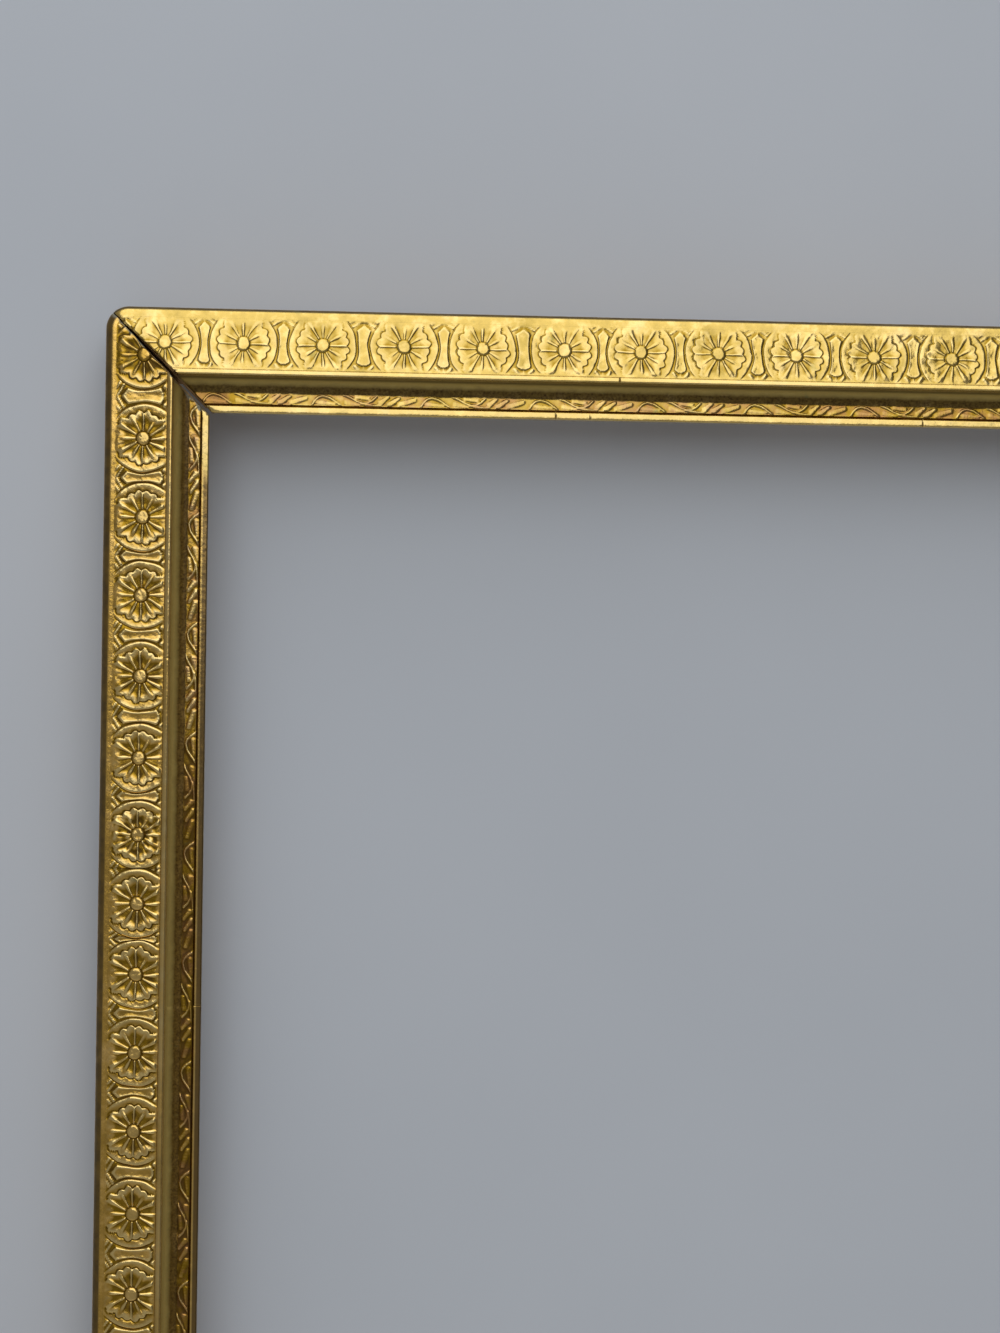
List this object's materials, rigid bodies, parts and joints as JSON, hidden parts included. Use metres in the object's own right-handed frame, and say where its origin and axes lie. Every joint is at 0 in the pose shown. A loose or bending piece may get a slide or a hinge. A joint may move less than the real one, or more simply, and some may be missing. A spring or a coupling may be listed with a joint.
{
  "type": "picture frame",
  "caption": "Rectangular picture frame with gilt, rosette-embossed mitred rails, a rabbet for a print, turn buttons on its back and ring hangers on its uprights.",
  "frame": {"origin": "middle of the frame on the table plane, under the screw heads that it lies on", "axes": "+Y towards the frame's head, +X to the right of someone who looks at its face, +Z out of its face"},
  "size_m": [0.23, 0.2808, 0.0211],
  "materials": {
    "gilt": "worn metal leaf over gesso and pressed composition",
    "wood": "bare sawn softwood",
    "steel": "zinc-plated, dulled",
    "brass": "plain brass, dulled"
  },
  "bodies": {
    "frame": {"bottom_rail_wood": "wood", "right_rail_wood": "wood", "top_rail_wood": "wood", "left_rail_wood": "wood", "bottom_rail_facing": "gilt", "right_rail_facing": "gilt", "top_rail_facing": "gilt", "left_rail_facing": "gilt", "bottom_frieze_strip": "gilt", "top_frieze_strip": "gilt", "left_frieze_strip_upper": "gilt", "left_frieze_strip_lower": "gilt", "right_frieze_strip_upper": "gilt", "right_frieze_strip_lower": "gilt", "corner_nail_bottom_left_low": "steel", "corner_nail_bottom_left_high": "steel", "corner_nail_bottom_right_low": "steel", "corner_nail_bottom_right_high": "steel", "corner_nail_top_left_low": "steel", "corner_nail_top_left_high": "steel", "corner_nail_top_right_low": "steel", "corner_nail_top_right_high": "steel", "turn_button_screw_bottom": "brass", "turn_button_screw_right": "brass", "turn_button_screw_top": "brass", "turn_button_screw_left": "brass", "hanger_strap_left": "steel", "hanger_strap_right": "steel", "hanger_screw_left": "steel", "hanger_screw_right": "steel"},
    "turn_button_bottom": {"turn_button_bottom": "brass"},
    "turn_button_right": {"turn_button_right": "brass"},
    "turn_button_top": {"turn_button_top": "brass"},
    "turn_button_left": {"turn_button_left": "brass"},
    "hanger_ring_left": {"hanger_ring_left": "steel"},
    "hanger_ring_right": {"hanger_ring_right": "steel"}
  },
  "joints": [
    {"name": "turn_button_bottom_swivel", "type": "hinge", "parent": "frame", "child": "turn_button_bottom", "pos_m": [0, -0.1341, 0.0033], "axis": [0, 0, 1], "continuous": true},
    {"name": "turn_button_right_swivel", "type": "hinge", "parent": "frame", "child": "turn_button_right", "pos_m": [0.1087, 0, 0.0033], "axis": [0, 0, 1], "continuous": true},
    {"name": "turn_button_top_swivel", "type": "hinge", "parent": "frame", "child": "turn_button_top", "pos_m": [0, 0.1341, 0.0033], "axis": [0, 0, 1], "continuous": true},
    {"name": "turn_button_left_swivel", "type": "hinge", "parent": "frame", "child": "turn_button_left", "pos_m": [-0.1087, 0, 0.0033], "axis": [0, 0, 1], "continuous": true},
    {"name": "hanger_ring_left_swing", "type": "hinge", "parent": "frame", "child": "hanger_ring_left", "pos_m": [-0.1087, 0.0468, 0.0022], "axis": [-1, 0, 0], "range_deg": [0, 158]},
    {"name": "hanger_ring_right_swing", "type": "hinge", "parent": "frame", "child": "hanger_ring_right", "pos_m": [0.1087, 0.0468, 0.0022], "axis": [-1, 0, 0], "range_deg": [0, 158]}
  ]
}
